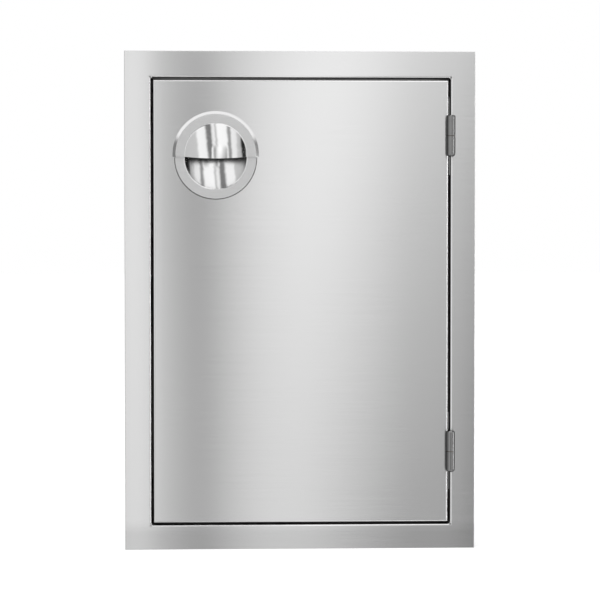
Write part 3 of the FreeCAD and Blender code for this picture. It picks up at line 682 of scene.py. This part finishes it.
edge = np.concatenate((np.arange(first, rows) * columns, (rows - 1) * columns + np.arange(1, columns),
                       (np.arange(rows - 1, first - 1, -1) * columns + columns - 1)[1:]))
wall = np.stack((edge[:-1], edge[1:], edge[1:] + total, edge[:-1] + total), axis=-1)
faces = np.concatenate((skin, skin + total, wall))
hood = shell("hood_and_dome", np.concatenate((outer.reshape(-1, 3), inner.reshape(-1, 3))), faces)
# On the hood the darkened part is its bevel, a painted shade.
hood_finish = satin_and_mirror("satin_hood_mirror_dome", (cup_x, hood_z), dome_radius + satin_border,
                               hood_face, dull=0.30)
fit(hood, hood_finish, "satin_and_mirror_stainless", "door", "pull_hood")


# Hinges
# Two solid knuckles on a pin, with a bronze washer between them: the door's above with a
# chamfered end, the frame's below with a rounded one. Each has a leaf screwed to the sheet.
def turned_steel(name):
    """Turned stainless: fine rings round a vertical axis, lightly polished."""
    material, shader, place = new_material(name, Metallic=1.0)
    tool = place.noise((40, 40, 5200), 3)
    haze = place.noise((130, 130, 130), 3)
    # The low tone is painted shade: the hinges are painted darker than turned stainless is.
    (0.26 + 0.08 * (tool - 0.5) + 0.05 * (haze - 0.5)).feed(shader, "Base Color")
    (0.13 + 0.10 * (tool - 0.5) + 0.06 * (haze - 0.5)).feed(shader, "Roughness")
    tool.bump(0.2, 0.00003).feed(shader, "Normal")
    return material


def oiled_and_shaded_bronze(name):
    """Sintered bronze: warm and open-grained, darkened partly by its oil and partly as painted shade in the
    split between the knuckles.
    """
    material, shader, place = new_material(name, Metallic=1.0)
    pore = place.noise((1800, 1800, 1800), 3)
    pore.rise(0.3, 0.7).between((0.05, 0.035, 0.02), (0.18, 0.12, 0.065)).feed(shader, "Base Color")
    (0.38 + 0.3 * (pore - 0.5)).feed(shader, "Roughness")
    pore.bump(0.4, 0.00004).feed(shader, "Normal")
    return material


hinge_steel = turned_steel("hinge_stainless")
bronze = oiled_and_shaded_bronze("bronze")
for end in ("upper", "lower"):
    for part in ("_hinge_frame_leaf", "_hinge_pin"):
        fit(finished(end + part, fine_edge), hinge_steel, "hinge_stainless", "frame", end + part)
    leaf = end + "_hinge_door_leaf"
    fit(finished(leaf, fine_edge), hinge_steel, "hinge_stainless", "door", leaf)
    washer = end + "_hinge_washer"
    fit(finished(washer, fine_edge), bronze, "bronze", "frame", washer)
for node in ("hinge_frame_screws", "hinge_frame_nuts"):
    fit(finished(node, fine_edge), fasteners, "fastener_steel", "frame", node)
fit(finished("hinge_door_screws", fine_edge), fasteners, "fastener_steel", "door",
    "hinge_door_screws")

# Floor
# A plain white floor at the object's lowest edge. For the camera it also glows a little, so that
# it is white where nothing shades it.
floor_size = 12.0
floor_z = cad_box[0][2]
floor_glow = 0.45


def stage_piece(name, points, **shown):
    """A piece of the studio, seen only by the kinds of ray that are named."""
    piece = surface(name, points, around=False)
    for ray in ("camera", "diffuse", "glossy", "transmission", "shadow"):
        setattr(piece, "visible_" + ray, shown.get(ray, False))
    return piece


across = np.linspace(-floor_size, floor_size, 5)
floor_x, floor_y = np.meshgrid(across, across)
floor = stage_piece("floor", np.stack((floor_x, floor_y, np.full_like(floor_x, floor_z)), axis=-1),
                    camera=True, diffuse=True, shadow=True)
material, shader, place = new_material("white_floor", Roughness=0.9, Specular_IOR_Level=0.1)
mottle = place.noise((3, 3, 3), 2)
(0.84 + 0.02 * (mottle - 0.5)).feed(shader, "Base Color")
shader.inputs["Emission Color"].default_value = (1, 1, 1, 1)
path = place.node("ShaderNodeLightPath")
(path * floor_glow).feed(shader, "Emission Strength")
floor.data.materials.append(material)


# Light tent
# What the steel mirrors: a tent round the studio with tall bright and dark strips, and a soft
# scrim in front of the door. Only reflections see them. A second reflection sees those in front
# dimly and none behind, and further ones see hardly anything, as in a dark cabinet.
tent_radius = 4.0
tent_lean = 0.09
scrim_distance = 1.00
scrim_centre = (0.08, -0.19)
scrim_half_width = 0.32
scrim_half_height = 0.81
second_glow = 0.35
third_glow = 0.01
tent_columns = 73
tent_rows = 37


def glow(name, tone):
    """A material that only gives light, as bright as a wire says and clear where another says."""
    material = bpy.data.materials.new(name)
    material.use_nodes = True
    tree = material.node_tree
    tree.nodes.clear()
    place = Wire(tree).node("ShaderNodeTexCoord", output="Object")
    light, clear = tone(place)
    depth = place.node("ShaderNodeLightPath", output="Glossy Depth")
    second = depth.math("GREATER_THAN", depth, 1.5)
    third = depth.math("GREATER_THAN", depth, 2.5)
    front_side = 1 - place.node("ShaderNodeSeparateXYZ", sockets={0: place}, output=1).rise(0.0, 0.5)
    again = front_side * (second_glow - (second_glow - third_glow) * third)
    light = light * (1 - second * (1 - again))
    lamp = place.node("ShaderNodeEmission", sockets={"Color": (1, 1, 1, 1), "Strength": light})
    none = place.node("ShaderNodeBsdfTransparent")
    mixed = place.node("ShaderNodeMixShader", sockets={0: clear, 1: lamp, 2: none})
    end = tree.nodes.new("ShaderNodeOutputMaterial")
    tree.links.new(mixed.socket, end.inputs["Surface"])
    material.cycles.emission_sampling = "NONE"
    return material


def tent_tone(place):
    """Strips by the way a mirror in the middle has to face to show them to the front.

    Such a mirror faces half-way between the place and the front, so its across is the place's x
    and its up the place's z, each over the root of 2 - 2 y, all in tent radii. The strips lean, so
    that across falls as up rises, and hang in loose folds, and a narrow lamp stands to their right
    at the door's height. Beside the mirror's reach the upper part is white and the lower part
    grey, and behind it the tent is dim but for its foot.
    """
    x = place.node("ShaderNodeSeparateXYZ", sockets={0: place})
    y, z = x.beside("Y") / tent_radius, x.beside("Z") / tent_radius
    x = x / tent_radius
    spread = (2.0002 - 2 * y) ** 0.5
    fold = place.noise((1.2, 1.2, 2.0), 3)
    across, up = (x + tent_lean * z) / spread + 0.05 * (fold - 0.5), z / spread
    strips = [(-1.0, 0.15), (-0.85, 0.20), (-0.70, 0.36), (-0.575, 0.36), (-0.545, 0.60), (-0.335, 0.62),
              (-0.300, 1.02), (-0.170, 1.00), (-0.130, 0.22), (-0.060, 0.20), (-0.035, 0.92), (0.000, 0.95),
              (0.018, 0.58), (0.034, 0.58), (0.058, 1.08), (0.220, 1.04), (0.248, 0.35), (0.285, 0.30),
              (0.310, 0.95), (0.385, 0.90), (0.415, 0.62), (0.475, 0.52), (0.490, 0.02), (0.576, 0.02),
              (0.590, 0.42), (0.925, 0.42), (0.965, 1.10), (1.0, 1.10)]
    stops = [((place_across + 1) / 2, tone) for place_across, tone in strips]
    band = x.node("ShaderNodeValToRGB", {"stops": stops}, {0: across * 0.5 + 0.5})
    level = 1 - up.math("ABSOLUTE", up).rise(0.10, 0.20)
    band = band + 4.6 * level * across.rise(0.580, 0.586) * (1 - across.rise(0.640, 0.655))
    beyond = y.rise(-0.30, -0.15)
    top = up.rise(0.20, 0.36) * beyond
    low = (up * -1.0).rise(0.12, 0.32) * beyond
    behind = y.rise(-0.05, 0.20)
    back = 0.15 + 0.60 * (z * -1.0).rise(0.10, 0.32)
    return (band * (1 - top - low) + 1.45 * top + 0.60 * low) * (1 - behind) + back * behind, 0.0


def scrim_tone(place):
    """Soft upright bands across the scrim, darker to the lower right, clear at its edges."""
    x = place.node("ShaderNodeSeparateXYZ", sockets={0: place})
    z = x.beside("Z")
    bands = [(-0.240, 1.09), (-0.176, 1.08), (-0.168, 0.74), (-0.146, 0.64), (-0.110, 0.43), (-0.095, 0.44),
             (-0.055, 0.77), (-0.010, 1.04), (0.050, 1.24), (0.100, 1.26), (0.150, 1.15), (0.210, 0.90),
             (0.255, 0.78), (0.275, 0.79), (0.290, 0.66), (0.400, 0.64)]
    left = scrim_centre[0] - scrim_half_width
    stops = [((across - left) / (2 * scrim_half_width), tone) for across, tone in bands]
    share = (x - left) / (2 * scrim_half_width)
    band = x.node("ShaderNodeValToRGB", {"stops": stops}, {0: share})
    shade = x.rise(-0.18, 0.22) * (z * -1.0).rise(-0.60, 0.55)
    corner = x.rise(-0.185, -0.165) * (1 - x.rise(-0.115, -0.06)) * z.rise(0.0, 0.2)
    side = (share - 0.5).math("ABSOLUTE", share - 0.5).rise(0.47, 0.50)
    tall = (z - scrim_centre[1]) / scrim_half_height
    end = tall.math("ABSOLUTE", tall).rise(0.66, 0.98)
    edge = 0.10 * x.rise(0.283, 0.297) - 0.10 * x.rise(0.20, 0.25) * (1 - x.rise(0.275, 0.29))
    shade = (0.64 + edge) * shade
    left_foot = 0.10 * (1 - x.rise(-0.165, -0.13)) * (z * -1.0).rise(0.05, 0.30)
    return band * (1 - shade) * (1 - left_foot) * (1 - 0.22 * corner), 1 - (1 - side) * (1 - end)


bearing = np.linspace(-math.pi, math.pi, tent_columns)[None]
height = np.linspace(-math.pi / 2, math.pi / 2, tent_rows)[:, None]
tent = tent_radius * np.stack((np.sin(bearing) * np.cos(height), -np.cos(bearing) * np.cos(height),
                               np.broadcast_to(np.sin(height), (tent_rows, tent_columns))), axis=-1)
stage_piece("light_tent", tent, glossy=True).data.materials.append(glow("tent_light", tent_tone))
scrim_x, scrim_z = np.meshgrid(scrim_centre[0] + scrim_half_width * np.linspace(-1, 1, 5),
                               scrim_centre[1] + scrim_half_height * np.linspace(-1, 1, 5))
scrim = np.stack((scrim_x, np.full_like(scrim_x, -scrim_distance), scrim_z), axis=-1)
stage_piece("scrim", scrim, glossy=True).data.materials.append(glow("scrim_light", scrim_tone))

# World and lamps
# A white room that lights soft surfaces evenly, one large lamp from the upper left that gives the
# shadow on the floor its side, and a weaker one from the right.
room_light = 0.75
scene = bpy.context.scene
scene.world = bpy.data.worlds.new("white_room")
scene.world.use_nodes = True
path = Wire(scene.world.node_tree).node("ShaderNodeLightPath")
seen = path.math("MAXIMUM", path, path.beside("Is Glossy Ray"))
seen = path.math("MAXIMUM", seen, path.beside("Is Transmission Ray"))
background = scene.world.node_tree.nodes["Background"]
background.inputs["Color"].default_value = (1, 1, 1, 1)
(room_light + (1 - room_light) * seen).feed(background, "Strength")


def soft_lamp(name, place, target, size, power):
    """A square lamp aimed at a point, which lights surfaces but isn't mirrored in the steel."""
    light = bpy.data.lights.new(name, "AREA")
    light.size = size
    light.energy = power
    lamp = bpy.data.objects.new(name, light)
    scene.collection.objects.link(lamp)
    lamp.location = place
    lamp.rotation_euler = (Vector(target) - Vector(place)).to_track_quat("-Z", "Y").to_euler()
    lamp.visible_glossy = False
    lamp.visible_camera = False


door_middle = (0, 0, 0)
soft_lamp("key_lamp", (-1.4, -1.9, 2.0), door_middle, size=1.2, power=30)
soft_lamp("fill_lamp", (1.8, -1.4, 0.9), door_middle, size=1.6, power=10)
scene.view_settings.view_transform = "Standard"

# Camera
# It stands in front of the door, a little to the left and above, and looks at its middle.
camera_distance = 2.5
camera_left = math.radians(2.51)
camera_up = math.radians(1.97)
field_width = 0.61964
sensor = 36.0
aim = Vector((-0.0011, front, 0.0018))
back = Vector((-math.sin(camera_left) * math.cos(camera_up), -math.cos(camera_left) * math.cos(camera_up),
                  math.sin(camera_up)))
camera_data = bpy.data.cameras.new("camera")
camera_data.sensor_width = sensor
camera_data.lens = sensor * camera_distance / field_width
camera = bpy.data.objects.new("camera", camera_data)
scene.collection.objects.link(camera)
camera.location = aim + back * camera_distance
camera.rotation_euler = (-back).to_track_quat("-Z", "Y").to_euler()
camera_data.clip_end = 100
scene.camera = camera
